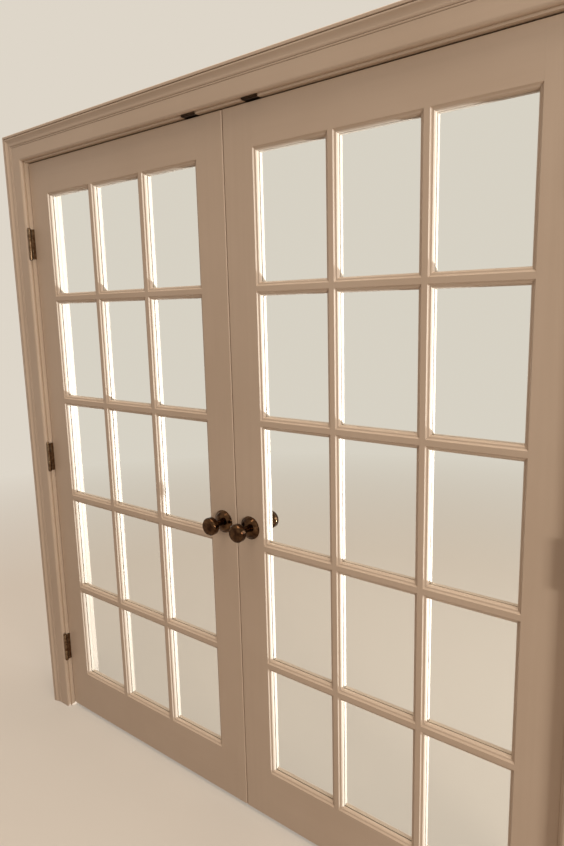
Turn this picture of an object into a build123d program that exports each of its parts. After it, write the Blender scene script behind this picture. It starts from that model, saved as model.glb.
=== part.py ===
from build123d import *
import os

os.makedirs("parts", exist_ok=True)

# A pair of french doors in their frame, in millimetres.
# X runs across the doorway from its middle, Y runs from the side that the leaves open to
# towards the far side, and Z runs up from the floor. The left half is drawn and the right
# half is its mirror image.

# Leaves
leaf_width = 908.0
leaf_height = 2032.0
leaf_thickness = 35.0
stile_face = 99.0  # flat face of a stile, up to the moulded edge of the panes
top_rail_face = 106.0
bottom_rail_face = 154.0
bar_face = 14.0
pane_columns = 3
pane_rows = 5
arris_round = 1.5
meeting_round = 3.0  # rounding of the edges where the leaves meet

# Running gaps round the leaves
side_gap = 3.0
head_gap = 3.0
meeting_gap = 2.4
floor_gap = 12.0

# Moulded edge round each pane: a bevel, a ledge, a second bevel and a lip that carries the glass
outer_bevel = 3.6
ledge_width = 3.6
ledge_fall = 0.8
inner_bevel_width = 2.4
inner_bevel_fall = 3.0
lip_width = 1.4
lip_fall = 5.1

# Glass and the beads that hold it
glass_thickness = 3.0
glass_clearance = 1.5
bead_width = 11.0
bead_bevel_width = 7.0
bead_bevel_depth = 9.0
bead_mitre_gap = 0.2

# Joints of the leaf's timbers
tenon_length = 60.0
tenon_thickness = 12.0
tenon_inset = 8.0
haunch = 34.0
bar_tenon_length = 12.0
bar_tenon_thickness = 8.0

# Frame
jamb_thickness = 19.0
jamb_depth = 130.0
head_housing = 9.5  # how far the head is let into each jamb
leaf_recess = 13.0  # the leaves' front faces lie this far behind the frame's front edge
stop_thickness = 11.0
stop_width = 35.0
stop_gap = 1.5

# Casing: a flat field, two small beads, a cove and a raised band at the outer edge
casing_width = 89.0
casing_reveal = 6.0
casing_field_thickness = 12.0
casing_thickness = 19.0
casing_edge_round = 8.0
casing_field = 38.5
quirk_width = 1.8
quirk_depth = 1.3
thin_bead_width = 3.4
thin_bead_rise = 0.7
wide_bead_width = 6.5
wide_bead_fall = 1.0
cove_width = 13.0
cove_rise = 4.2
cove_sag = 1.6
crest_width = 6.0
crest_rise = 1.4
band_groove = 2.2
band_round = 2.0

# Hinges
hinge_height = 101.6
hinge_width = 101.6
hinge_gauge = 2.5
hinge_from_top = 267.0  # leaf's top to the top hinge's middle
hinge_from_bottom = 243.0  # leaf's bottom to the bottom hinge's middle
hinge_count = 3
pin_stand_off = 5.5  # pin's middle, in front of the frame's front edge
knuckle_radius = 6.35
knuckle_count = 3
knuckle_gap = 0.3
knuckle_clearance = 0.4
pin_radius = 3.15
pin_clearance = 0.05
pin_head_radius = 5.2
pin_head_height = 4.0

# Knobs, the same on both faces of each leaf
knob_height = 914.0  # leaf's bottom to the knob's middle
knob_backset = 50.0  # meeting edge to the knob's middle
spindle_width = 8.0
spindle_clearance = 0.1
spindle_bore = 6.5
rosette_radius = 33.5
rosette_edge = 2.6
rosette_ledge = 2.0
rosette_shoulder_radius = 25.0
rosette_shoulder_height = 11.0
rosette_top_radius = 12.0
rosette_height = 15.5
neck_radius = 9.0
neck_length = 18.5
flare_radius = 20.0
flare_rise = 8.0
knob_radius = 26.0
knob_back = 5.5
knob_rim = 14.0
knob_face_radius = 22.5
knob_crown = 2.0  # rise of the knob's face to its middle
knob_reach = 68.0
socket_depth = 24.0

# Bullet catches in the leaves' top edges, and their strikes in the head
catch_offset = 108.0  # doorway's middle to the catch's middle
plunger_radius = 5.5
plunger_stand = 4.3  # height of the plunger's nose above the leaf's top edge
plunger_length = 13.0
plunger_play = 0.1
nose_radius = 2.6
nose_rise = 3.4
plunger_foot_radius = 7.0
plunger_foot = 6.2
catch_radius = 9.5
catch_length = 26.0
catch_face = 1.5
catch_floor = 1.5
spring_radius = 5.0
spring_wire = 1.0
strike_length = 50.0
strike_thickness = 1.5
strike_behind = 13.0  # strike's back edge, behind the leaf's middle
strike_lip_radius = 4.0
strike_lip_height = 5.2
strike_hole_radius = 4.6
strike_well_radius = 5.2
strike_well_depth = 3.0

# Sizes worked out from those above
moulding_width = outer_bevel + ledge_width + inner_bevel_width + lip_width
glass_bed = outer_bevel + ledge_fall + inner_bevel_fall + lip_fall
cut_reach = 2 * leaf_thickness  # far enough to cut right through a leaf
half_doorway = meeting_gap / 2 + leaf_width + side_gap
doorway_height = floor_gap + leaf_height + head_gap
front_reach = max(knob_reach, leaf_recess + casing_thickness)
back_reach = max(leaf_thickness + knob_reach, jamb_depth - leaf_recess + casing_thickness)
leaf_front = (front_reach - back_reach) / 2
leaf_middle = leaf_front + leaf_thickness / 2
leaf_back = leaf_front + leaf_thickness
leaf_bottom = floor_gap
leaf_top = leaf_bottom + leaf_height
hinge_edge = -meeting_gap / 2 - leaf_width
meeting_edge = -meeting_gap / 2
inside_hinge_stile = hinge_edge + stile_face
inside_meeting_stile = meeting_edge - stile_face
jamb_front = leaf_front - leaf_recess
jamb_middle = jamb_front + jamb_depth / 2
opening_width = (inside_meeting_stile - inside_hinge_stile + bar_face) / pane_columns - bar_face
panes_bottom = leaf_bottom + bottom_rail_face
panes_top = leaf_top - top_rail_face
opening_rise = (panes_top - panes_bottom + bar_face) / pane_rows - bar_face

leaf_plane = Plane(origin=(0, leaf_front, 0), x_dir=(1, 0, 0), z_dir=(0, -1, 0))
leaf_middle_plane = Plane(origin=(0, leaf_middle, 0), z_dir=(0, 1, 0))
frame_middle_plane = Plane(origin=(0, jamb_middle, 0), z_dir=(0, 1, 0))


def save(piece, name):
    """Label a finished piece and write it to its own file."""
    piece.part.label = name
    export_step(piece.part, f"parts/{name}.step")


def save_pair(piece, name):
    """Write a left-hand piece and its mirror image as the right-hand one."""
    save(piece, f"left_{name}")
    with BuildPart() as mirrored:
        mirror(piece.part, about=Plane.YZ)
    save(mirrored, f"right_{name}")


# Frame: two jambs, the head and the stops

pin_x = -half_doorway + side_gap / 2
pin_y = jamb_front - pin_stand_off
hinge_heights = [
    leaf_bottom + hinge_from_bottom
    + n * (leaf_height - hinge_from_bottom - hinge_from_top) / (hinge_count - 1)
    for n in range(hinge_count)
]
hinge_far_edge = pin_y + hinge_width / 2
knuckle_sweep = knuckle_radius + knuckle_clearance


def hinge_plate(start, middles):
    """Outline of hinge plates on a plane across X, from a near edge to the hinge's far edge."""
    with Locations(*[((start + hinge_far_edge) / 2, middle) for middle in middles]):
        Rectangle(hinge_far_edge - start, hinge_height)


with BuildPart() as jamb:
    with BuildSketch(Plane.XY):
        with Locations((-half_doorway - jamb_thickness / 2, jamb_middle)):
            Rectangle(jamb_thickness, jamb_depth)
    extrude(amount=doorway_height + jamb_thickness)
    with BuildSketch(Plane.XY.offset(doorway_height)):
        with Locations((-half_doorway - head_housing / 2, jamb_middle)):
            Rectangle(head_housing, jamb_depth)
    extrude(amount=jamb_thickness, mode=Mode.SUBTRACT)
    with BuildSketch(Plane.YZ.offset(-half_doorway)):
        hinge_plate(jamb_front, hinge_heights)
    extrude(amount=-hinge_gauge, mode=Mode.SUBTRACT)
save_pair(jamb, "jamb")

strike_front = jamb_front
strike_back = leaf_middle + strike_behind

with BuildPart() as head_jamb:
    with BuildSketch(Plane.XY.offset(doorway_height)):
        with Locations((0, jamb_middle)):
            Rectangle(2 * (half_doorway + head_housing), jamb_depth)
    extrude(amount=jamb_thickness)
    with BuildSketch(Plane.XY.offset(doorway_height)):
        with Locations(*[(side * catch_offset, (strike_front + strike_back) / 2) for side in (-1, 1)]):
            Rectangle(strike_length, strike_back - strike_front)
    extrude(amount=strike_thickness, mode=Mode.SUBTRACT)
    with BuildSketch(Plane.XY.offset(doorway_height)):
        with Locations(*[(side * catch_offset, leaf_middle) for side in (-1, 1)]):
            Circle(strike_well_radius)
    extrude(amount=strike_thickness + strike_well_depth, mode=Mode.SUBTRACT)
save(head_jamb, "head_jamb")

stop_middle = leaf_back + stop_gap + stop_width / 2

with BuildPart() as stop:
    with BuildSketch(Plane.XY):
        with Locations((-half_doorway + stop_thickness / 2, stop_middle)):
            Rectangle(stop_thickness, stop_width)
    extrude(amount=doorway_height)
    chamfer(edges().filter_by(Axis.Z).group_by(Axis.X)[-1], arris_round)
save_pair(stop, "stop")

with BuildPart() as head_stop:
    with BuildSketch(Plane.XY.offset(doorway_height)):
        with Locations((0, stop_middle)):
            Rectangle(2 * (half_doorway - stop_thickness), stop_width)
    extrude(amount=-stop_thickness)
    chamfer(edges().filter_by(Axis.X).group_by(Axis.Z)[0], arris_round)
save(head_stop, "head_stop")

# Casings: moulded boards mitred at the top corners, the same on both sides of the wall

casing_inside = half_doorway + casing_reveal
casing_top_inside = doorway_height + casing_reveal
casing_outside = casing_inside + casing_width
casing_top = casing_top_inside + casing_width


def casing_section():
    """Cross-section of the casing: x from its inner edge outwards, y out from the wall."""
    field_end = casing_edge_round + casing_field
    thin_bead = field_end + quirk_width
    second_quirk = thin_bead + thin_bead_width
    wide_bead = second_quirk + quirk_width
    cove = wide_bead + wide_bead_width
    crest = cove + cove_width
    groove = crest + crest_width
    face = casing_field_thickness
    cove_low = face + wide_bead_fall
    cove_high = cove_low + cove_rise
    with BuildLine() as outline:
        Line((0, 0), (0, face - casing_edge_round))
        RadiusArc((0, face - casing_edge_round), (casing_edge_round, face), casing_edge_round)
        Polyline(
            (casing_edge_round, face),
            (field_end, face),
            (field_end + quirk_width / 2, face - quirk_depth),
            (thin_bead, face),
        )
        ThreePointArc(
            (thin_bead, face),
            (thin_bead + thin_bead_width / 2, face + thin_bead_rise),
            (second_quirk, face),
        )
        Polyline(
            (second_quirk, face),
            (second_quirk + quirk_width / 2, face - quirk_depth),
            (wide_bead, face),
        )
        RadiusArc((wide_bead, face), (cove, cove_low), wide_bead_width)
        ThreePointArc(
            (cove, cove_low),
            (cove + cove_width / 2, (cove_low + cove_high) / 2 - cove_sag),
            (crest, cove_high),
        )
        ThreePointArc(
            (crest, cove_high),
            (crest + crest_width / 2, cove_high + crest_rise),
            (groove, cove_high),
        )
        Polyline(
            (groove, cove_high),
            (groove + band_groove / 2, cove_high - band_groove / 2),
            (groove + band_groove, casing_thickness),
            (casing_width - band_round, casing_thickness),
            (casing_width, casing_thickness - band_round),
            (casing_width, 0),
            (0, 0),
        )
    make_face(outline.edges())


left_mitre = Plane(origin=(-casing_inside, 0, casing_top_inside), x_dir=(0, 1, 0), z_dir=(1, 0, 1))
right_mitre = Plane(origin=(casing_inside, 0, casing_top_inside), x_dir=(0, 1, 0), z_dir=(-1, 0, 1))

with BuildPart() as side_casing:
    with BuildSketch(Plane(origin=(-casing_inside, jamb_front, 0), x_dir=(-1, 0, 0), z_dir=(0, 0, 1))):
        casing_section()
    extrude(amount=casing_top)
    split(bisect_by=left_mitre, keep=Keep.BOTTOM)
save_pair(side_casing, "front_casing")

with BuildPart() as back_side_casing:
    mirror(side_casing.part, about=frame_middle_plane)
save_pair(back_side_casing, "back_casing")

with BuildPart() as head_casing:
    with BuildSketch(
        Plane(origin=(-casing_outside, jamb_front, casing_top_inside), x_dir=(0, 0, 1), z_dir=(1, 0, 0))
    ):
        casing_section()
    extrude(amount=2 * casing_outside)
    split(bisect_by=left_mitre, keep=Keep.TOP)
    split(bisect_by=right_mitre, keep=Keep.TOP)
save(head_casing, "front_head_casing")

with BuildPart() as back_head_casing:
    mirror(head_casing.part, about=frame_middle_plane)
save(back_head_casing, "back_head_casing")

# Leaf: the clear space at one pane, centred on the pane, cuts the moulded edge and the glass
# rebate of every timber around it


def opening_section(width):
    """Half the clear space across a pane: x out from its middle, y back from the leaf's face."""
    edge = width / 2
    bevel_end = edge - outer_bevel
    ledge_end = bevel_end - ledge_width
    inner_end = ledge_end - inner_bevel_width
    lip_end = inner_end - lip_width
    ledge_low = outer_bevel + ledge_fall
    inner_low = ledge_low + inner_bevel_fall
    with BuildLine() as outline:
        Polyline(
            (0, -cut_reach),
            (edge, -cut_reach),
            (edge, 0),
            (bevel_end, outer_bevel),
            (ledge_end, ledge_low),
            (inner_end, inner_low),
            (lip_end, glass_bed),
            (edge, glass_bed),
            (edge, cut_reach),
            (0, cut_reach),
            (0, -cut_reach),
        )
    make_face(outline.edges())
    mirror(about=Plane.YZ)


with BuildPart() as pane_opening:
    with BuildSketch(Plane(origin=(0, leaf_front, 0), x_dir=(1, 0, 0), z_dir=(0, 0, 1))):
        opening_section(opening_width)
    extrude(amount=opening_rise / 2, both=True)
    with BuildSketch(Plane(origin=(0, leaf_front, 0), x_dir=(0, 0, 1), z_dir=(-1, 0, 0))):
        opening_section(opening_rise)
    extrude(amount=opening_width / 2, both=True, mode=Mode.INTERSECT)


def pane_corner(column, row):
    """Lower left corner of a pane's opening between flat faces, counted from the hinge and the bottom."""
    x = inside_hinge_stile + column * (opening_width + bar_face)
    z = panes_bottom + row * (opening_rise + bar_face)
    return x, z


def pane_middles(columns, rows):
    """Middle of each pane's opening, as a point on the leaf's own X and Z."""
    corners = [pane_corner(column, row) for column in columns for row in rows]
    return [(x + opening_width / 2, z + opening_rise / 2) for x, z in corners]


def moulded_strip(column, row, side):
    """Outline of the moulded strip along one side of a pane, mitred at both ends."""
    x, z = pane_corner(column, row)
    far_x, far_z = x + opening_width, z + opening_rise
    inner = moulding_width
    corners = {
        "left": [(x, z), (x, far_z), (x + inner, far_z - inner), (x + inner, z + inner)],
        "right": [(far_x, z), (far_x, far_z), (far_x - inner, far_z - inner), (far_x - inner, z + inner)],
        "low": [(x, z), (far_x, z), (far_x - inner, z + inner), (x + inner, z + inner)],
        "high": [(x, far_z), (far_x, far_z), (far_x - inner, far_z - inner), (x + inner, far_z - inner)],
    }
    Polygon(*corners[side], align=None)


def cut_pane_openings(columns, rows):
    """Cut the clear space of the panes beside a timber."""
    with Locations(*[(x, 0, z) for x, z in pane_middles(columns, rows)]):
        add(pane_opening.part, mode=Mode.SUBTRACT)


def upright_board(low_x, high_x, low_z, high_z):
    """Rectangle between two corners, on the leaf's plane."""
    with Locations(((low_x + high_x) / 2, (low_z + high_z) / 2)):
        Rectangle(high_x - low_x, high_z - low_z)


def rail_tenons(low_z, high_z, mode):
    """Tenons at both ends of a rail, or the mortises that take them."""
    ends = (inside_hinge_stile - tenon_length / 2, inside_meeting_stile + tenon_length / 2)
    with Locations(*[(x, leaf_middle, (low_z + high_z) / 2) for x in ends]):
        Box(tenon_length, tenon_thickness, high_z - low_z, mode=mode)


def bar_tenons(mode):
    """Stub tenons at both ends of the upright bars, or the mortises that take them."""
    ends = (panes_bottom - bar_tenon_length / 2, panes_top + bar_tenon_length / 2)
    with Locations(*[(x, leaf_middle, z) for x in bar_middles for z in ends]):
        Box(bar_face, bar_tenon_thickness, bar_tenon_length, mode=mode)


def catch_bore():
    """Hole for the catch, down from the leaf's top edge."""
    with Locations((-catch_offset, leaf_middle, leaf_top)):
        Hole(catch_radius, catch_length)


bar_middles = [
    inside_hinge_stile + n * (opening_width + bar_face) - bar_face / 2 for n in range(1, pane_columns)
]
top_tenon = (panes_top + tenon_inset, leaf_top - haunch)
bottom_tenon = (leaf_bottom + tenon_inset, panes_bottom - tenon_inset)
knob_x = meeting_edge - knob_backset
knob_z = leaf_bottom + knob_height
last_column = pane_columns - 1
last_row = pane_rows - 1

with BuildPart() as hinge_stile:
    with BuildSketch(leaf_plane):
        upright_board(hinge_edge, inside_hinge_stile, leaf_bottom, leaf_top)
        for row in range(pane_rows):
            moulded_strip(0, row, "left")
    extrude(amount=-leaf_thickness)
    fillet(edges().filter_by(Axis.Z).group_by(Axis.X)[0], arris_round)
    cut_pane_openings([0], range(pane_rows))
    rail_tenons(*top_tenon, mode=Mode.SUBTRACT)
    rail_tenons(*bottom_tenon, mode=Mode.SUBTRACT)
    with BuildSketch(Plane.YZ.offset(hinge_edge)):
        hinge_plate(leaf_front, hinge_heights)
    extrude(amount=hinge_gauge, mode=Mode.SUBTRACT)
save_pair(hinge_stile, "hinge_stile")

with BuildPart() as meeting_stile:
    with BuildSketch(leaf_plane):
        upright_board(inside_meeting_stile, meeting_edge, leaf_bottom, leaf_top)
        for row in range(pane_rows):
            moulded_strip(last_column, row, "right")
    extrude(amount=-leaf_thickness)
    fillet(edges().filter_by(Axis.Z).group_by(Axis.X)[-1], meeting_round)
    cut_pane_openings([last_column], range(pane_rows))
    rail_tenons(*top_tenon, mode=Mode.SUBTRACT)
    rail_tenons(*bottom_tenon, mode=Mode.SUBTRACT)
    catch_bore()
    with BuildSketch(leaf_plane):
        with Locations((knob_x, knob_z)):
            Circle(spindle_bore)
    extrude(amount=-leaf_thickness, mode=Mode.SUBTRACT)
save_pair(meeting_stile, "meeting_stile")

with BuildPart() as top_rail:
    with BuildSketch(leaf_plane):
        upright_board(inside_hinge_stile, inside_meeting_stile, panes_top, leaf_top)
        for column in range(pane_columns):
            moulded_strip(column, last_row, "high")
    extrude(amount=-leaf_thickness)
    cut_pane_openings(range(pane_columns), [last_row])
    rail_tenons(*top_tenon, mode=Mode.ADD)
    bar_tenons(mode=Mode.SUBTRACT)
    catch_bore()
save_pair(top_rail, "top_rail")

with BuildPart() as bottom_rail:
    with BuildSketch(leaf_plane):
        upright_board(inside_hinge_stile, inside_meeting_stile, leaf_bottom, panes_bottom)
        for column in range(pane_columns):
            moulded_strip(column, 0, "low")
    extrude(amount=-leaf_thickness)
    cut_pane_openings(range(pane_columns), [0])
    rail_tenons(*bottom_tenon, mode=Mode.ADD)
    bar_tenons(mode=Mode.SUBTRACT)
save_pair(bottom_rail, "bottom_rail")

with BuildPart() as upright_bars:
    with BuildSketch(leaf_plane):
        for column, middle in enumerate(bar_middles):
            upright_board(middle - bar_face / 2, middle + bar_face / 2, panes_bottom, panes_top)
            for row in range(pane_rows):
                moulded_strip(column, row, "right")
                moulded_strip(column + 1, row, "left")
    extrude(amount=-leaf_thickness)
    cut_pane_openings(range(pane_columns), range(pane_rows))
    bar_tenons(mode=Mode.ADD)
save_pair(upright_bars, "upright_bars")

with BuildPart() as cross_bars:
    with BuildSketch(leaf_plane):
        for column in range(pane_columns):
            for row in range(1, pane_rows):
                x, z = pane_corner(column, row)
                upright_board(x, x + opening_width, z - bar_face, z)
                moulded_strip(column, row, "low")
                moulded_strip(column, row - 1, "high")
    extrude(amount=-leaf_thickness)
    cut_pane_openings(range(pane_columns), range(pane_rows))
save_pair(cross_bars, "cross_bars")

every_pane = pane_middles(range(pane_columns), range(pane_rows))
glass_back = glass_bed + glass_thickness

with BuildPart() as panes:
    with Locations(*[(x, leaf_front + glass_bed + glass_thickness / 2, z) for x, z in every_pane]):
        Box(opening_width - 2 * glass_clearance, glass_thickness, opening_rise - 2 * glass_clearance)
save_pair(panes, "panes")

bead_depth = leaf_thickness - glass_back


def bead_section():
    """Cross-section of a glazing bead: x back from the glass, y in from the rebate's wall."""
    Polygon(
        (0, 0),
        (bead_depth, 0),
        (bead_depth, bead_width - bead_bevel_width),
        (bead_depth - bead_bevel_depth, bead_width),
        (0, bead_width),
        align=None,
    )


def bead(length, plane, outline_plane):
    """One mitred bead on a plane across it, lying along the middle of its pane's edge."""
    with BuildPart() as strip:
        with BuildSketch(plane):
            bead_section()
        extrude(amount=length / 2, both=True)
        with BuildSketch(outline_plane):
            half = length / 2 - bead_mitre_gap
            Polygon(
                (-half, 0),
                (half, 0),
                (half - bead_width, bead_width),
                (bead_width - half, bead_width),
                align=None,
            )
        extrude(amount=cut_reach, both=True, mode=Mode.INTERSECT)
    return strip


glass_back_y = leaf_front + glass_back
low_bead = bead(
    opening_width,
    Plane(origin=(0, glass_back_y, -opening_rise / 2), x_dir=(0, 1, 0), z_dir=(1, 0, 0)),
    Plane(origin=(0, glass_back_y, -opening_rise / 2), x_dir=(1, 0, 0), z_dir=(0, -1, 0)),
)
side_bead = bead(
    opening_rise,
    Plane(origin=(-opening_width / 2, glass_back_y, 0), x_dir=(0, 1, 0), z_dir=(0, 0, -1)),
    Plane(origin=(-opening_width / 2, glass_back_y, 0), x_dir=(0, 0, -1), z_dir=(0, -1, 0)),
)

with BuildPart() as pane_beads:
    add(low_bead.part)
    mirror(low_bead.part, about=Plane.XY)
    add(side_bead.part)
    mirror(side_bead.part, about=Plane.YZ)

with BuildPart() as glazing_beads:
    with Locations(*[(x, 0, z) for x, z in every_pane]):
        add(pane_beads.part)
save_pair(glazing_beads, "glazing_beads")

# Hinges: two plates with interlocked knuckles on a loose pin


def hinge_leaf(plate_x, knuckles):
    """One half of a hinge at height zero: its plate, and every second knuckle round the pin."""
    knuckle_pitch = (hinge_height + knuckle_gap) / knuckle_count
    with BuildPart() as half:
        with BuildSketch(Plane.YZ.offset(plate_x)):
            hinge_plate(pin_y + knuckle_sweep, [0])
        extrude(amount=hinge_gauge)
        for knuckle in knuckles:
            with BuildSketch(Plane.XY.offset(knuckle * knuckle_pitch - hinge_height / 2)):
                with Locations((pin_x, pin_y)):
                    Circle(knuckle_radius)
                with Locations((plate_x + hinge_gauge / 2, pin_y + knuckle_sweep / 2)):
                    Rectangle(hinge_gauge, knuckle_sweep)
            extrude(amount=knuckle_pitch - knuckle_gap)
        with BuildSketch(Plane.XY.offset(-hinge_height / 2)):
            with Locations((pin_x, pin_y)):
                Circle(pin_radius + pin_clearance)
        extrude(amount=hinge_height, mode=Mode.SUBTRACT)
    return half


def at_each_hinge(piece):
    """Repeat a piece drawn at height zero at each hinge of the leaf."""
    with BuildPart() as group:
        with Locations(*[(0, 0, height) for height in hinge_heights]):
            add(piece.part)
    return group


jamb_hinge_leaf = hinge_leaf(-half_doorway - hinge_gauge, range(0, knuckle_count, 2))
save_pair(at_each_hinge(jamb_hinge_leaf), "jamb_hinge_leaves")

door_hinge_leaf = hinge_leaf(hinge_edge, range(1, knuckle_count, 2))
save_pair(at_each_hinge(door_hinge_leaf), "door_hinge_leaves")

with BuildPart() as hinge_pin:
    with BuildSketch(Plane(origin=(pin_x, pin_y, 0), x_dir=(1, 0, 0), z_dir=(0, -1, 0))):
        Polygon(
            (0, -hinge_height / 2),
            (pin_radius, -hinge_height / 2),
            (pin_radius, hinge_height / 2),
            (pin_head_radius, hinge_height / 2),
            (pin_head_radius, hinge_height / 2 + pin_head_height),
            (0, hinge_height / 2 + pin_head_height),
            align=None,
        )
    revolve(axis=Axis((pin_x, pin_y, 0), (0, 0, 1)))
save_pair(at_each_hinge(hinge_pin), "hinge_pins")

# Knobs: a turned rosette and knob on each face of the leaf, on one square spindle

knob_plane = Plane(origin=(knob_x, leaf_front, knob_z), x_dir=(1, 0, 0), z_dir=(0, 0, -1))
knob_axis = Axis((knob_x, leaf_front, knob_z), (0, -1, 0))
spindle_hole = spindle_width + 2 * spindle_clearance
spindle_reach = rosette_height + socket_depth - spindle_clearance

with BuildPart() as rosette:
    with BuildSketch(knob_plane):
        Polygon(
            (spindle_bore, 0),
            (rosette_radius, 0),
            (rosette_radius, rosette_edge),
            (rosette_radius - rosette_ledge, rosette_edge),
            (rosette_shoulder_radius, rosette_shoulder_height),
            (rosette_top_radius, rosette_height),
            (spindle_bore, rosette_height),
            align=None,
        )
    revolve(axis=knob_axis)

with BuildPart() as rosettes:
    add(rosette.part)
    mirror(rosette.part, about=leaf_middle_plane)
save_pair(rosettes, "rosettes")

neck_end = rosette_height + neck_length
flare_end = neck_end + flare_rise
rim_start = flare_end + knob_back
rim_end = rim_start + knob_rim

with BuildPart() as knob:
    with BuildSketch(knob_plane):
        Polygon(
            (0, rosette_height),
            (neck_radius, rosette_height),
            (neck_radius, neck_end),
            (flare_radius, flare_end),
            (knob_radius, rim_start),
            (knob_radius, rim_end),
            (knob_face_radius, knob_reach - knob_crown),
            (0, knob_reach),
            align=None,
        )
    revolve(axis=knob_axis)
    with BuildSketch(Plane.XZ.offset(-leaf_front)):
        with Locations((knob_x, knob_z)):
            Rectangle(spindle_hole, spindle_hole)
    extrude(amount=rosette_height + socket_depth, mode=Mode.SUBTRACT)

with BuildPart() as knobs:
    add(knob.part)
    mirror(knob.part, about=leaf_middle_plane)
save_pair(knobs, "knobs")

with BuildPart() as spindle:
    with Locations((knob_x, leaf_middle, knob_z)):
        Box(spindle_width, leaf_thickness + 2 * spindle_reach, spindle_width)
save_pair(spindle, "spindle")

# Bullet catches: a housing let into the leaf's top edge, with a round-nosed plunger on a spring

catch_plane = Plane(origin=(-catch_offset, leaf_middle, leaf_top), x_dir=(1, 0, 0), z_dir=(0, -1, 0))
catch_axis = Axis((-catch_offset, leaf_middle, leaf_top), (0, 0, 1))
cavity_radius = plunger_foot_radius + plunger_play
mouth_radius = plunger_radius + plunger_play
plunger_base = plunger_stand - plunger_length
cavity_floor = catch_floor - catch_length

with BuildPart() as catch_housing:
    with BuildSketch(catch_plane):
        Polygon(
            (0, -catch_length),
            (catch_radius, -catch_length),
            (catch_radius, 0),
            (mouth_radius, 0),
            (mouth_radius, -catch_face),
            (cavity_radius, -catch_face),
            (cavity_radius, cavity_floor),
            (0, cavity_floor),
            align=None,
        )
    revolve(axis=catch_axis)
save_pair(catch_housing, "catch_housing")

with BuildPart() as catch_plunger:
    with BuildSketch(catch_plane):
        Polygon(
            (0, plunger_base),
            (plunger_foot_radius, plunger_base),
            (plunger_foot_radius, plunger_base + plunger_foot),
            (plunger_radius, plunger_base + plunger_foot),
            (plunger_radius, plunger_stand - nose_rise),
            (nose_radius, plunger_stand),
            (0, plunger_stand),
            align=None,
        )
    revolve(axis=catch_axis)
save_pair(catch_plunger, "catch_plunger")

with BuildPart() as catch_spring:
    with BuildSketch(catch_plane):
        Polygon(
            (spring_radius - spring_wire, cavity_floor),
            (spring_radius, cavity_floor),
            (spring_radius, plunger_base),
            (spring_radius - spring_wire, plunger_base),
            align=None,
        )
    revolve(axis=catch_axis)
save_pair(catch_spring, "catch_spring")

# Strikes: plates let into the head's underside, with a lip that curls up in front

lip_back = strike_front - strike_lip_radius + strike_thickness
lip_top = doorway_height + strike_lip_height

with BuildPart() as strike:
    with BuildSketch(Plane.YZ.offset(-catch_offset - strike_length / 2)):
        with BuildLine():
            Polyline(
                (strike_front, doorway_height),
                (strike_back, doorway_height),
                (strike_back, doorway_height + strike_thickness),
                (strike_front, doorway_height + strike_thickness),
            )
            RadiusArc(
                (strike_front, doorway_height + strike_thickness),
                (lip_back, doorway_height + strike_lip_radius),
                strike_lip_radius - strike_thickness,
            )
            Polyline(
                (lip_back, doorway_height + strike_lip_radius),
                (lip_back, lip_top),
                (lip_back - strike_thickness, lip_top),
                (lip_back - strike_thickness, doorway_height + strike_lip_radius),
            )
            RadiusArc(
                (lip_back - strike_thickness, doorway_height + strike_lip_radius),
                (strike_front, doorway_height),
                -strike_lip_radius,
            )
        make_face()
    extrude(amount=strike_length)
    with BuildSketch(Plane.XY.offset(doorway_height)):
        with Locations((-catch_offset, leaf_middle)):
            Circle(strike_hole_radius)
    extrude(amount=strike_thickness, mode=Mode.SUBTRACT)
save_pair(strike, "strike")
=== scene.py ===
from math import ceil, cos, pi, radians, sin, tan

import bmesh
import bpy
from mathutils import Matrix, Quaternion, Vector


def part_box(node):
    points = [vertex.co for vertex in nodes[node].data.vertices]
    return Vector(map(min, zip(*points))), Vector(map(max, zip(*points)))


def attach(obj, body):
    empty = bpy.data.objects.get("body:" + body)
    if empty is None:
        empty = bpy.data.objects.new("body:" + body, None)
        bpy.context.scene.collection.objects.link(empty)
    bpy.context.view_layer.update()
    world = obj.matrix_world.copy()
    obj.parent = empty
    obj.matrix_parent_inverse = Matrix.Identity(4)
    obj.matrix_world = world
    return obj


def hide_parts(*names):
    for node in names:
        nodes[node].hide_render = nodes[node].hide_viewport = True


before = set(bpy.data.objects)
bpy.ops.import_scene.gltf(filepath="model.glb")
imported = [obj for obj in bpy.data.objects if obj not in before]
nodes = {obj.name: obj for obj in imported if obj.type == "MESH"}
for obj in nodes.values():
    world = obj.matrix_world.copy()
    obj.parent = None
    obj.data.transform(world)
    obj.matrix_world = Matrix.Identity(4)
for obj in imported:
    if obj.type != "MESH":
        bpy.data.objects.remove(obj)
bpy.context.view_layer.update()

scene = bpy.context.scene
scene.view_settings.view_transform = "Standard"

# Places are in metres. Sizes given in millimetres are multiplied by MM.
MM = 0.001
SIDES = ("left", "right")
stile_low, stile_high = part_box("left_hinge_stile")
LEAF_FRONT, LEAF_BACK = stile_low.y, stile_high.y


# Helpers for node trees

# Sockets of a colour Mix node: its factor, its two colours and their mix
MIX_FACTOR, MIX_FIRST, MIX_SECOND = 0, 6, 7
MIX_RESULT = 2
EDGE_SAMPLES = 4
# Samples of the painted shade in grooves and corners
PAINTED_SHADE_SAMPLES = 6


def srgb(red, green, blue):
    """A colour given as it looks on screen, 0 to 255, in the renderer's own linear values."""
    def linear(value):
        value = value / 255
        return value / 12.92 if value <= 0.04045 else ((value + 0.055) / 1.055) ** 2.4
    return tuple(linear(value) for value in (red, green, blue))


def new_material(name):
    """An empty node material with its shader and output joined."""
    material = bpy.data.materials.new(name)
    material.use_nodes = True
    tree = material.node_tree
    tree.nodes.clear()
    output = tree.nodes.new("ShaderNodeOutputMaterial")
    shader = tree.nodes.new("ShaderNodeBsdfPrincipled")
    tree.links.new(shader.outputs[0], output.inputs[0])
    return material, tree, shader


def link(tree, source, target):
    tree.links.new(source, target)


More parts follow.
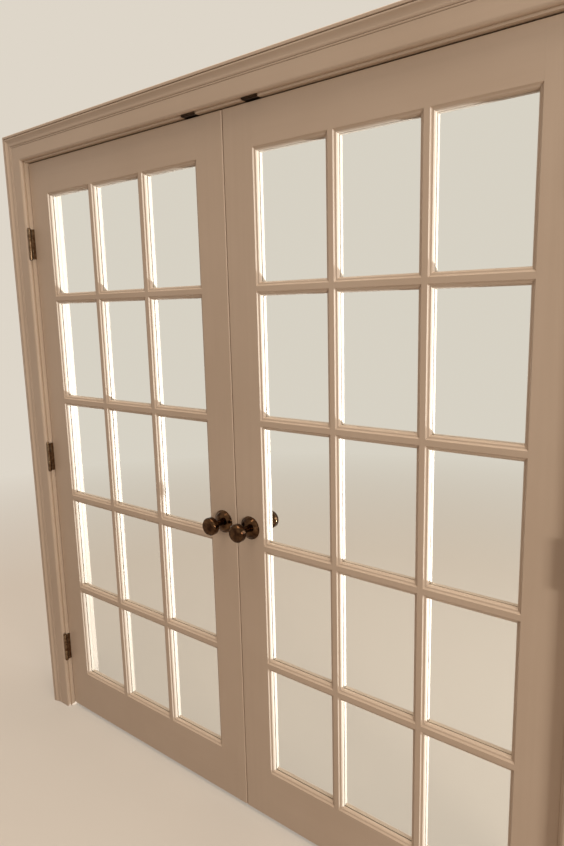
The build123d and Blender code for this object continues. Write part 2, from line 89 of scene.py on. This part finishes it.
def feed(tree, socket, value):
    """Give a socket its value, which is another socket, a number or a colour."""
    if isinstance(value, bpy.types.NodeSocket):
        link(tree, value, socket)
    elif isinstance(value, (int, float)):
        socket.default_value = value
    else:
        socket.default_value = (*value, 1)


def add_node(tree, kind, **settings):
    made = tree.nodes.new("ShaderNode" + kind)
    for name, value in settings.items():
        setattr(made, name, value)
    return made


def math_node(tree, operation, *values, clamp=False):
    """A Math node fed by sockets or numbers."""
    made = add_node(tree, "Math", operation=operation, use_clamp=clamp)
    for socket, value in zip(made.inputs, values):
        feed(tree, socket, value)
    return made.outputs[0]


def blend_values(tree, first, second, share):
    """The first value by its share, plus the second by the rest."""
    first_part = math_node(tree, "MULTIPLY", first, share)
    second_part = math_node(tree, "MULTIPLY", second, 1 - share)
    return math_node(tree, "ADD", first_part, second_part)


def mix_colour(tree, factor, first, second):
    """A mix of two colours, fed by sockets or colours."""
    made = add_node(tree, "Mix", data_type="RGBA")
    for socket, value in ((MIX_FACTOR, factor), (MIX_FIRST, first), (MIX_SECOND, second)):
        feed(tree, made.inputs[socket], value)
    return made.outputs[MIX_RESULT]


def mix_shaders(tree, share, first, second, output):
    """Send a mix of two shaders to an output node."""
    blend = add_node(tree, "MixShader")
    for socket, source in zip(blend.inputs, (share, first, second)):
        link(tree, source, socket)
    link(tree, blend.outputs[0], output.inputs[0])


def object_point(tree):
    """The point in the object's own coordinates, which at rest are those of the CAD frame."""
    return add_node(tree, "TexCoord").outputs["Object"]


def noise(tree, point, scale, stretch=(1, 1, 1), detail=4, roughness=0.55, offset=(0, 0, 0)):
    """Noise from 0 to 1, drawn out along each axis whose stretch is small."""
    mapping = add_node(tree, "Mapping")
    mapping.inputs["Scale"].default_value = stretch
    mapping.inputs["Location"].default_value = offset
    link(tree, point, mapping.inputs["Vector"])
    made = add_node(tree, "TexNoise")
    made.inputs["Scale"].default_value = scale
    made.inputs["Detail"].default_value = detail
    made.inputs["Roughness"].default_value = roughness
    link(tree, mapping.outputs[0], made.inputs["Vector"])
    return made.outputs["Fac"]


def ramp(tree, value, low, high, low_to=0.0, high_to=1.0):
    """Maps a value from one range to another, held at both ends."""
    made = add_node(tree, "MapRange", clamp=True)
    for name, number in (("From Min", low), ("From Max", high), ("To Min", low_to), ("To Max", high_to)):
        made.inputs[name].default_value = number
    link(tree, value, made.inputs["Value"])
    return made.outputs[0]


def rounded_normal(tree, radius):
    """Normals that turn smoothly over sharp edges."""
    bevel = add_node(tree, "Bevel", samples=EDGE_SAMPLES)
    bevel.inputs["Radius"].default_value = radius
    return bevel.outputs[0]


def bumped_normal(tree, height, distance, strength, normal=None):
    """Normals tilted by a height map, on top of other normals if they are given."""
    made = add_node(tree, "Bump")
    made.inputs["Distance"].default_value = distance
    made.inputs["Strength"].default_value = strength
    link(tree, height, made.inputs["Height"])
    if normal is not None:
        link(tree, normal, made.inputs["Normal"])
    return made.outputs[0]


# Paint

PAINT = srgb(214, 198, 180)
PAINT_DEEP = srgb(206, 189, 170)
PAINT_ROUGHNESS = (0.38, 0.48)
PAINT_ROUNDING = 0.8 * MM
BRUSH_DEPTH = 0.05 * MM
BRUSH_STRENGTH = 0.5

# Noise scales of the paint, and how far the brush marks are drawn out along the grain
STROKE_SCALE = 420
STREAK_SCALE = 60
CLOUD_SCALE = 2.3
GRAIN_STRETCH = 0.03
STREAK_OFFSET = (3, 1, 7)
CLOUD_OFFSET = (5, 2, 9)

# The clouds' share of the tone, the strokes' share of the relief, and the parts of the noise in use
CLOUD_SHARE = 0.75
STROKE_SHARE = 0.7
TONE_RANGE = (0.35, 0.65)
STREAK_RANGE = (0.3, 0.7)

# Painted shade in grooves and inner corners: how far a point looks round for them, and how open it is at full
# shade and at none
# The dark colour painted in where shade falls
PAINTED_SHADE = srgb(112, 86, 64)
PAINTED_SHADE_REACH = 6 * MM
PAINTED_SHADE_RANGE = (0.25, 0.7)

# Bare wood on the sides that go against the wall
BARE_WOOD = srgb(204, 178, 144)
BARE_WOOD_GRAIN = srgb(174, 142, 108)
BARE_GRAIN_RANGE = (0.4, 0.7)
BARE_ROUGHER = 0.3
BARE_DEPTH = 0.5 * MM


def painted_crevice_shade(tree, own_only):
    """Painted shade: from 0 on open faces to 1 in grooves, inner corners and gaps, of the piece alone or with
    its neighbours.
    """
    made = add_node(tree, "AmbientOcclusion", samples=PAINTED_SHADE_SAMPLES, only_local=own_only)
    made.inputs["Distance"].default_value = PAINTED_SHADE_REACH
    full, none = PAINTED_SHADE_RANGE
    return ramp(tree, made.outputs["AO"], none, full)


def wall_side(tree, point, axis, plane):
    """1 on the side of a piece that lies on a plane across one axis or on its mirror image, 0 elsewhere."""
    split = add_node(tree, "SeparateXYZ")
    link(tree, point, split.inputs[0])
    depth = math_node(tree, "SUBTRACT", math_node(tree, "ABSOLUTE", split.outputs[axis]), abs(plane))
    return math_node(tree, "LESS_THAN", math_node(tree, "ABSOLUTE", depth), BARE_DEPTH)


def paint(name, grain, own_painted_shade=True, bare=None):
    """Satin paint over wood, with faint brush strokes along the grain axis, and shade painted into its
    grooves and inner corners.

    Where bare gives an axis and a plane, the side on that plane is left as bare wood.
    """
    material, tree, shader = new_material(name)
    point = object_point(tree)
    along = {"x": (GRAIN_STRETCH, 1, 1), "z": (1, 1, GRAIN_STRETCH)}[grain]
    strokes = noise(tree, point, STROKE_SCALE, along, detail=3)
    streaks = noise(tree, point, STREAK_SCALE, along, detail=2, offset=STREAK_OFFSET)
    clouds = noise(tree, point, CLOUD_SCALE, detail=3, offset=CLOUD_OFFSET)
    tone = ramp(tree, blend_values(tree, clouds, streaks, CLOUD_SHARE), *TONE_RANGE)
    colour = mix_colour(tree, tone, PAINT_DEEP, PAINT)
    # Painted shade: the paint turns darker towards the shade colour in grooves, inner corners and gaps
    colour = mix_colour(tree, painted_crevice_shade(tree, own_painted_shade), colour, PAINTED_SHADE)
    roughness = ramp(tree, streaks, *STREAK_RANGE, *PAINT_ROUGHNESS)
    if bare:
        unpainted = wall_side(tree, point, *bare)
        wood = mix_colour(tree, ramp(tree, strokes, *BARE_GRAIN_RANGE), BARE_WOOD, BARE_WOOD_GRAIN)
        colour = mix_colour(tree, unpainted, colour, wood)
        roughness = math_node(tree, "ADD", roughness, math_node(tree, "MULTIPLY", unpainted, BARE_ROUGHER))
    link(tree, colour, shader.inputs["Base Color"])
    link(tree, roughness, shader.inputs["Roughness"])
    relief = blend_values(tree, strokes, streaks, STROKE_SHARE)
    rounded = rounded_normal(tree, PAINT_ROUNDING)
    link(tree, bumped_normal(tree, relief, BRUSH_DEPTH, BRUSH_STRENGTH, rounded), shader.inputs["Normal"])
    return material


# Metals

METAL_ROUNDING = 0.9 * MM
METAL_GRAIN_DEPTH = 0.03 * MM
METAL_GRAIN_STRENGTH = 0.5
GRAIN_FINENESS = 9  # how much finer the grain is than the patina
GRAIN_OFFSET = (1, 4, 2)
GRAIN_RANGE = (0.3, 0.7)
PATINA_RANGE = (0.40, 0.72)
PATINA_RUB = 0.35  # how bright the patches get, as a share of the bright metal
# Edges are lightened partly as wear and partly as a painted highlight
EDGE_WEAR_AND_HIGHLIGHT_RANGE = (0.80, 0.99)  # cosines of the turn at full wear and at none


def worn_and_highlit_edges(tree, rounded):
    """Wear and painted highlight: from 0 on open faces to 1 along edges, by how far the rounded normal turns
    from the true one.
    """
    dot = add_node(tree, "VectorMath", operation="DOT_PRODUCT")
    link(tree, rounded, dot.inputs[0])
    link(tree, add_node(tree, "NewGeometry").outputs["True Normal"], dot.inputs[1])
    full, none = EDGE_WEAR_AND_HIGHLIGHT_RANGE
    return ramp(tree, dot.outputs["Value"], none, full)


def metal(name, dark, bright, roughness, scale=90, wear_and_highlight_gain=0.8):
    """Aged metal: a dark patina that is worn bright in patches, and lighter along edges, partly from wear and
    partly as a painted highlight.
    """
    material, tree, shader = new_material(name)
    point = object_point(tree)
    patina = noise(tree, point, scale, detail=6, roughness=0.65)
    fine = noise(tree, point, scale * GRAIN_FINENESS, detail=3, offset=GRAIN_OFFSET)
    rounded = rounded_normal(tree, METAL_ROUNDING)
    patches = ramp(tree, patina, *PATINA_RANGE, 0.0, PATINA_RUB)
    # Edges lighter: partly wear, partly a painted highlight along rims
    edges = math_node(tree, "MULTIPLY", worn_and_highlit_edges(tree, rounded), wear_and_highlight_gain)
    rubbed_and_highlit = math_node(tree, "ADD", patches, edges, clamp=True)
    link(tree, mix_colour(tree, rubbed_and_highlit, dark, bright), shader.inputs["Base Color"])
    shader.inputs["Metallic"].default_value = 1.0
    link(tree, ramp(tree, fine, *GRAIN_RANGE, *roughness), shader.inputs["Roughness"])
    grained = bumped_normal(tree, fine, METAL_GRAIN_DEPTH, METAL_GRAIN_STRENGTH, rounded)
    link(tree, grained, shader.inputs["Normal"])
    return material


# Glass

GLASS_TINT = (0.965, 0.975, 0.97)
GLASS_MIRROR = 0.6
GLASS_ROUGHNESS = 0.02
GLASS_IOR = 1.4
RIPPLE_SCALE = 5
RIPPLE_DEPTH = 0.4 * MM
RIPPLE_STRENGTH = 0.2


def clear_glass(name):
    """Thin clear glass: it lets light straight through and mirrors a little of what is before it."""
    material, tree, shader = new_material(name)
    tree.nodes.remove(shader)
    through = add_node(tree, "BsdfTransparent")
    through.inputs["Color"].default_value = (*GLASS_TINT, 1)
    mirror = add_node(tree, "BsdfGlossy")
    mirror.inputs["Roughness"].default_value = GLASS_ROUGHNESS
    mirror.inputs["Color"].default_value = (1, 1, 1, 1)
    ripple = noise(tree, object_point(tree), RIPPLE_SCALE, detail=1)
    link(tree, bumped_normal(tree, ripple, RIPPLE_DEPTH, RIPPLE_STRENGTH), mirror.inputs["Normal"])
    fresnel = add_node(tree, "Fresnel")
    fresnel.inputs["IOR"].default_value = GLASS_IOR
    facing = math_node(tree, "SUBTRACT", 1.0, add_node(tree, "NewGeometry").outputs["Backfacing"])
    mirrored = math_node(tree, "MULTIPLY", fresnel.outputs[0], facing)
    share = math_node(tree, "MULTIPLY", mirrored, GLASS_MIRROR)
    mix_shaders(tree, share, through.outputs[0], mirror.outputs[0], tree.nodes["Material Output"])
    return material


# The material of each CAD node

UPRIGHT_PAINT = paint("leaf_paint_upright", "z")
LEVEL_PAINT = paint("leaf_paint_across", "x")
AGED_BRASS = metal("aged_brass", srgb(50, 31, 20), srgb(158, 120, 84), roughness=(0.09, 0.17), scale=60)
HINGE_BRASS = metal("hinge_brass", srgb(88, 62, 42), srgb(224, 202, 170), roughness=(0.10, 0.20))
DARK_BRONZE = metal("dark_bronze", srgb(40, 28, 20), srgb(110, 84, 60), roughness=(0.3, 0.5), wear_and_highlight_gain=0.6)
STEEL = metal("bright_steel", srgb(150, 150, 148), srgb(205, 205, 202), roughness=(0.25, 0.4))
GLASS = clear_glass("clear_glass")

# Each piece of the frame: its grain, whether its painted shade in grooves comes from the piece alone, and the
# side that meets the wall
FRAME_PIECES = {
    "jamb": ("z", True, ("X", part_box("left_jamb")[0].x)),
    "stop": ("z", True, None),
    "front_casing": ("z", False, ("Y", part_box("left_front_casing")[1].y)),
    "back_casing": ("z", False, ("Y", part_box("left_back_casing")[0].y)),
    "head_jamb": ("x", False, ("Z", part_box("head_jamb")[1].z)),
    "head_stop": ("x", False, None),
    "front_head_casing": ("x", False, ("Y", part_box("front_head_casing")[1].y)),
    "back_head_casing": ("x", False, ("Y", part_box("back_head_casing")[0].y)),
}
FRAME_PAINT = {name: paint(name + "_paint", *settings) for name, settings in FRAME_PIECES.items()}

NODE_MATERIALS = FRAME_PAINT | {
    "hinge_stile": UPRIGHT_PAINT, "meeting_stile": UPRIGHT_PAINT,
    "upright_bars": UPRIGHT_PAINT, "glazing_beads": UPRIGHT_PAINT,
    "top_rail": LEVEL_PAINT, "bottom_rail": LEVEL_PAINT, "cross_bars": LEVEL_PAINT,
    "panes": GLASS,
    "jamb_hinge_leaves": HINGE_BRASS, "door_hinge_leaves": HINGE_BRASS, "hinge_pins": HINGE_BRASS,
    "knobs": AGED_BRASS, "rosettes": AGED_BRASS, "spindle": STEEL,
    "catch_housing": AGED_BRASS, "catch_plunger": AGED_BRASS, "catch_spring": STEEL,
    "strike": DARK_BRONZE,
}

for node_name, cad_object in nodes.items():
    plain_name = node_name
    for side in SIDES:
        plain_name = plain_name.removeprefix(side + "_")
    cad_object.data.materials.clear()
    cad_object.data.materials.append(NODE_MATERIALS[plain_name])


# Turned pieces

ARC_STEP = radians(14)
TURNED_SIDES = 72
SHARP_ANGLE = radians(32)
ON_AXIS = 1e-6  # a radius under this, in millimetres, is a point on the axis


def rounded_profile(profile):
    """Outline points (radius, height) of (radius, height, fillet) corners, with arcs at the fillets."""
    corners = [Vector(corner[:2]) for corner in profile]
    points = []
    for n, (corner, (_, _, fillet)) in enumerate(zip(corners, profile)):
        if not fillet:
            points.append(corner)
            continue
        before = corners[n - 1] - corner
        after = corners[(n + 1) % len(corners)] - corner
        half_angle = before.angle(after) / 2
        reach = min(fillet / tan(half_angle), before.length / 2, after.length / 2)
        start = corner + before.normalized() * reach
        end = corner + after.normalized() * reach
        middle = corner + (before.normalized() + after.normalized()).normalized() * reach / cos(half_angle)
        turn = pi - 2 * half_angle
        steps = ceil(turn / ARC_STEP)
        spoke, last = start - middle, end - middle
        sense = 1 if spoke.x * last.y > spoke.y * last.x else -1
        for step in range(steps + 1):
            angle = sense * turn * step / steps
            points.append(middle + Vector((
                spoke.x * cos(angle) - spoke.y * sin(angle),
                spoke.x * sin(angle) + spoke.y * cos(angle),
            )))
    return points


def lathe(built, profile, foot, axis):
    """Turn a closed profile round an axis that starts at foot, and add it to a mesh being built."""
    foot, axis = Vector(foot), Vector(axis)
    across = axis.orthogonal().normalized()
    aside = axis.cross(across)
    rings = []
    for radius, height in rounded_profile(profile):
        middle = foot + axis * height * MM
        if radius < ON_AXIS:
            rings.append([built.verts.new(middle)] * TURNED_SIDES)
            continue
        ring = []
        for n in range(TURNED_SIDES):
            angle = 2 * pi * n / TURNED_SIDES
            ring.append(built.verts.new(middle + radius * MM * (cos(angle) * across + sin(angle) * aside)))
        rings.append(ring)
    for ring, following in zip(rings, rings[1:] + rings[:1]):
        for n in range(TURNED_SIDES):
            turn = (n + 1) % TURNED_SIDES
            corners = list(dict.fromkeys((ring[n], ring[turn], following[turn], following[n])))
            if len(corners) > 2:
                built.faces.new(corners)


def finish_piece(name, built, body, material, replaced=()):
    """Turn a built mesh into a piece that rides on a body and stands for the CAD nodes it replaces."""
    bmesh.ops.recalc_face_normals(built, faces=built.faces)
    mesh = bpy.data.meshes.new(name)
    built.to_mesh(mesh)
    built.free()
    for face in mesh.polygons:
        face.use_smooth = True
    mesh.set_sharp_from_angle(angle=SHARP_ANGLE)
    mesh.materials.append(material)
    piece = bpy.data.objects.new(name, mesh)
    scene.collection.objects.link(piece)
    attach(piece, body)
    if replaced:
        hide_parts(*replaced)


# Knobs and rosettes, in millimetres: a profile holds radius, height above the leaf's face and fillet

SPINDLE_HOLE = 6.5
ROSETTE_RADIUS = 33.5
ROSETTE_HEIGHT = 15.5
NECK_RADIUS = 9
KNOB_RADIUS = 26
KNOB_HEIGHT = 68
ROSETTE_PROFILE = (
    (SPINDLE_HOLE, 0, 0), (ROSETTE_RADIUS, 0, 0), (ROSETTE_RADIUS, 2.6, 1.1), (31.5, 2.6, 0.5),
    (25, 11, 9), (12, ROSETTE_HEIGHT, 1.4), (SPINDLE_HOLE, ROSETTE_HEIGHT, 0),
)
KNOB_PROFILE = (
    (0, ROSETTE_HEIGHT, 0), (NECK_RADIUS, ROSETTE_HEIGHT, 0.6), (NECK_RADIUS, 34, 7), (20, 42, 4),
    (KNOB_RADIUS, 47.5, 3.2), (KNOB_RADIUS, 61.5, 2.4), (22.5, 66, 2.0),
    (20.6, 66.3, 0.4), (20, 66.0, 0.3), (18.8, 66.6, 0.5), (0, KNOB_HEIGHT, 0),
)


def make_knobs(side):
    """A turned knob and rosette on each face of a leaf."""
    low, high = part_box(side + "_knobs")
    x, z = (low.x + high.x) / 2, (low.z + high.z) / 2
    faces = (((x, LEAF_FRONT, z), (0, -1, 0)), ((x, LEAF_BACK, z), (0, 1, 0)))
    for name, profile in (("knobs", KNOB_PROFILE), ("rosettes", ROSETTE_PROFILE)):
        built = bmesh.new()
        for foot, axis in faces:
            lathe(built, profile, foot, axis)
        finish_piece(f"{side}_turned_{name}", built, side + "_leaf", AGED_BRASS,
                     replaced=[f"{side}_{name}"])


# Hinge pins and tips: sizes in millimetres

HINGE_HEIGHT = 101.6
PIN_RADIUS = 3.15
BUTTON_RADIUS = 5.2
BUTTON_HEIGHT = 4.0
PIN_PROFILE = (
    (0, 0, 0), (PIN_RADIUS, 0, 0.4), (PIN_RADIUS, HINGE_HEIGHT, 0), (BUTTON_RADIUS, HINGE_HEIGHT, 0.6),
    (BUTTON_RADIUS, HINGE_HEIGHT + BUTTON_HEIGHT, 1.8), (0, HINGE_HEIGHT + BUTTON_HEIGHT, 0),
)
TIP_PROFILE = (
    (0, 0, 0), (BUTTON_RADIUS, 0, 0.6), (BUTTON_RADIUS, -BUTTON_HEIGHT, 1.8), (0, -BUTTON_HEIGHT, 0),
)


def hinge_feet(side):
    """Bottom end of each hinge pin of a leaf."""
    low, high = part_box(side + "_hinge_pins")
    x, y = (low.x + high.x) / 2, (low.y + high.y) / 2
    top_foot = high.z - (HINGE_HEIGHT + BUTTON_HEIGHT) * MM
    return [(x, y, low.z), (x, y, (low.z + top_foot) / 2), (x, y, top_foot)]


def make_hinge_pins(side):
    """Turned hinge pins, and the tips that close the hinges from below."""
    for name, profile, replaced in (
        ("turned_hinge_pins", PIN_PROFILE, [side + "_hinge_pins"]), ("hinge_tips", TIP_PROFILE, []),
    ):
        built = bmesh.new()
        for foot in hinge_feet(side):
            lathe(built, profile, foot, (0, 0, 1))
        finish_piece(f"{side}_{name}", built, "frame", HINGE_BRASS, replaced)


# Screw heads, in millimetres: radius and height of each ring, then the cross recess

HEAD_RINGS = ((4.2, 0.0), (4.2, 0.2), (3.8, 0.5), (3.0, 0.78), (2.5, 0.85))
HEAD_SIDES = 24
RECESS_REACH = 2.0
RECESS_HALF_WIDTH = 0.42
RECESS_FLOOR = 0.15
SCREW_TURN = radians(37)  # from one screw's recess to the next one's

# Seats of the screws: height from the hinge's middle and depth behind the leaf's front, then on the strike
HINGE_SCREWS = ((38, 20), (13, 5), (-13, 20), (-38, 5))
STRIKE_SCREW = 17 * MM


def screw_head(built, foot, axis, turn):
    """A raised screw head with a cross recess, on a face at foot, added to a mesh being built."""
    foot, axis = Vector(foot), Vector(axis)
    across = axis.orthogonal().normalized()
    across.rotate(Quaternion(axis, turn))
    aside = axis.cross(across)

    def loop(outline, height):
        return [built.verts.new(foot + MM * (a * across + b * aside + height * axis)) for a, b in outline]

    def walls(lower, upper):
        for n in range(len(lower)):
            built.faces.new((lower[n - 1], lower[n], upper[n], upper[n - 1]))

    circle = [(cos(2 * pi * n / HEAD_SIDES), sin(2 * pi * n / HEAD_SIDES)) for n in range(HEAD_SIDES)]
    rings = [loop([(radius * a, radius * b) for a, b in circle], height) for radius, height in HEAD_RINGS]
    for lower, upper in zip(rings, rings[1:]):
        walls(lower, upper)
    built.faces.new(rings[0])

    arm = (
        (RECESS_REACH, -RECESS_HALF_WIDTH), (RECESS_REACH, RECESS_HALF_WIDTH),
        (RECESS_HALF_WIDTH, RECESS_HALF_WIDTH),
    )
    cross = []
    for quarter in (Matrix.Rotation(n * pi / 2, 2) for n in range(4)):
        cross += [quarter @ Vector(corner) for corner in arm]
    crown = HEAD_RINGS[-1][1]
    top, floor = loop(cross, crown), loop(cross, RECESS_FLOOR)
    walls(floor, top)
    built.faces.new(floor)
    rim = [built.edges.get((ring[n - 1], ring[n])) for ring in (rings[-1], top) for n in range(len(ring))]
    bmesh.ops.triangle_fill(built, edges=rim, use_beauty=True)


def add_screws(name, body, material, seats):
    """One piece with a screw head at each seat (foot, axis), each turned its own way."""
    built = bmesh.new()
    for n, (foot, axis) in enumerate(seats):
        screw_head(built, foot, axis, n * SCREW_TURN)
    finish_piece(name, built, body, material)


def make_screws(side):
    """Screw heads on both plates of each hinge and on the strike over the catch."""
    leaf_low, leaf_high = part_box(side + "_hinge_stile")
    jamb_low, jamb_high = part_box(side + "_jamb")
    leaf_edge, jamb_face, inward = {
        "left": (leaf_low.x, jamb_high.x, 1), "right": (leaf_high.x, jamb_low.x, -1),
    }[side]
    jamb_seats, door_seats = [], []
    for _, _, foot_z in hinge_feet(side):
        for up, depth in HINGE_SCREWS:
            y = LEAF_FRONT + depth * MM
            z = foot_z + HINGE_HEIGHT * MM / 2 + up * MM
            jamb_seats.append(((jamb_face, y, z), (inward, 0, 0)))
            door_seats.append(((leaf_edge, y, z), (-inward, 0, 0)))
    add_screws(side + "_jamb_screws", "frame", HINGE_BRASS, jamb_seats)
    add_screws(side + "_door_screws", side + "_leaf", HINGE_BRASS, door_seats)
    low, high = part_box(side + "_strike")
    middle = (low + high) / 2
    add_screws(side + "_strike_screws", "frame", DARK_BRONZE,
               [((middle.x + shift, middle.y, low.z), (0, 0, -1)) for shift in (-STRIKE_SCREW, STRIKE_SCREW)])


for side in SIDES:
    make_knobs(side)
    make_hinge_pins(side)
    make_screws(side)


# Camera, at the photograph's viewing angle: place in metres, angles in radians

PHOTO_HEIGHT = 846
CAMERA_PLACE = Vector((1.21207, -1.34800, 1.53648))
CAMERA_YAW = 0.66827
CAMERA_PITCH = -0.17588
CAMERA_ROLL = -0.02426
FOCAL_LENGTH_PX = 645.76
SENSOR = 36.0


def make_camera():
    forward = Vector((
        -sin(CAMERA_YAW) * cos(CAMERA_PITCH),
        cos(CAMERA_YAW) * cos(CAMERA_PITCH),
        sin(CAMERA_PITCH),
    ))
    level = Vector((cos(CAMERA_YAW), sin(CAMERA_YAW), 0))
    upright = level.cross(forward)
    right = cos(CAMERA_ROLL) * level + sin(CAMERA_ROLL) * upright
    up = -sin(CAMERA_ROLL) * level + cos(CAMERA_ROLL) * upright
    data = bpy.data.cameras.new("camera")
    data.sensor_fit = "AUTO"
    data.sensor_width = SENSOR
    data.lens = FOCAL_LENGTH_PX * SENSOR / PHOTO_HEIGHT
    camera = bpy.data.objects.new("camera", data)
    turn = Matrix((right, up, -forward)).transposed().to_4x4()
    camera.matrix_world = Matrix.Translation(CAMERA_PLACE) @ turn
    scene.collection.objects.link(camera)
    scene.camera = camera


# World and floor

BACKGROUND = srgb(222, 214, 201)
AMBIENT_COLOUR = (1.0, 0.78, 0.63)
AMBIENT_STRENGTH = 0.31
FLOOR_SIZE = 40
FLOOR_COLOUR = srgb(214, 205, 192)
FLOOR_BOUNCE = srgb(128, 106, 88)
FLOOR_ROUGHNESS = 0.7
FLOOR_FADE = (2.2, 5.0)  # the floor turns into the background between these distances from the middle
FLOOR_GLOW = 0.35  # share of the background's own colour in the floor beside the object


def seen_directly(tree):
    """1 for rays from the camera, and for those that a mirror or glass sends on."""
    path = add_node(tree, "LightPath")
    seen = math_node(tree, "MAXIMUM", path.outputs["Is Camera Ray"], path.outputs["Is Glossy Ray"])
    return math_node(tree, "MAXIMUM", seen, path.outputs["Is Transmission Ray"])


def make_world():
    """Warm light from all round, which shows as the pale background where it is looked at."""
    world = bpy.data.worlds.new("world")
    scene.world = world
    world.use_nodes = True
    tree = world.node_tree
    tree.nodes.clear()
    output = tree.nodes.new("ShaderNodeOutputWorld")
    light = add_node(tree, "Background")
    light.inputs["Color"].default_value = (*AMBIENT_COLOUR, 1)
    light.inputs["Strength"].default_value = AMBIENT_STRENGTH
    shown = add_node(tree, "Background")
    shown.inputs["Color"].default_value = (*BACKGROUND, 1)
    shown.inputs["Strength"].default_value = 1.0
    mix_shaders(tree, seen_directly(tree), light.outputs[0], shown.outputs[0], output)


def make_floor():
    """A pale floor that keeps the shadow near the object and fades into the background further out."""
    half = FLOOR_SIZE / 2
    mesh = bpy.data.meshes.new("floor")
    corners = [(-half, -half, 0), (half, -half, 0), (half, half, 0), (-half, half, 0)]
    mesh.from_pydata(corners, [], [(0, 1, 2, 3)])
    floor = bpy.data.objects.new("floor", mesh)
    scene.collection.objects.link(floor)
    material, tree, shader = new_material("pale_floor")
    seen = seen_directly(tree)
    link(tree, mix_colour(tree, seen, FLOOR_BOUNCE, FLOOR_COLOUR), shader.inputs["Base Color"])
    shader.inputs["Roughness"].default_value = FLOOR_ROUGHNESS
    distance = add_node(tree, "VectorMath", operation="LENGTH")
    link(tree, object_point(tree), distance.inputs[0])
    fade = math_node(tree, "MULTIPLY", ramp(tree, distance.outputs["Value"], *FLOOR_FADE, FLOOR_GLOW), seen)
    beyond = add_node(tree, "Emission")
    beyond.inputs["Color"].default_value = (*BACKGROUND, 1)
    mix_shaders(tree, fade, shader.outputs[0], beyond.outputs[0], tree.nodes["Material Output"])
    mesh.materials.append(material)


# Lamps: places and sizes in metres, power in watts

COOL_WHITE = (0.84, 0.93, 1.0)
WARM_WHITE = (1.0, 0.82, 0.66)
CREAM_WHITE = (1.0, 0.90, 0.79)
NARROW_SPREAD = radians(70)


def area_lamp(name, place, target, size, power, colour, spread=pi):
    data = bpy.data.lights.new(name, "AREA")
    data.shape = "SQUARE"
    data.size = size
    data.energy = power
    data.color = colour
    data.spread = spread
    lamp = bpy.data.objects.new(name, data)
    lamp.location = place
    lamp.rotation_euler = (Vector(target) - Vector(place)).to_track_quat("-Z", "Y").to_euler()
    lamp.visible_camera = False
    scene.collection.objects.link(lamp)


def make_lamps():
    """A low lamp and a broad one behind the doors, a ceiling light, and one in front at the right."""
    area_lamp("low_side", place=(3.6, 1.4, 0.18), target=(-1.0, 0.8, 1.65),
              size=0.2, power=72, colour=COOL_WHITE, spread=NARROW_SPREAD)
    area_lamp("far_side", place=(4.5, 3.2, 1.6), target=(0, 0, 1.0), size=2.4, power=90, colour=COOL_WHITE)
    area_lamp("ceiling", place=(0.3, -0.3, 7.0), target=(0, 0, 0), size=5.0, power=295, colour=WARM_WHITE)
    area_lamp("front_side", place=(5.0, -2.2, 1.6), target=(0, 0, 1.2),
              size=1.1, power=118, colour=CREAM_WHITE)


make_camera()
make_world()
make_floor()
make_lamps()
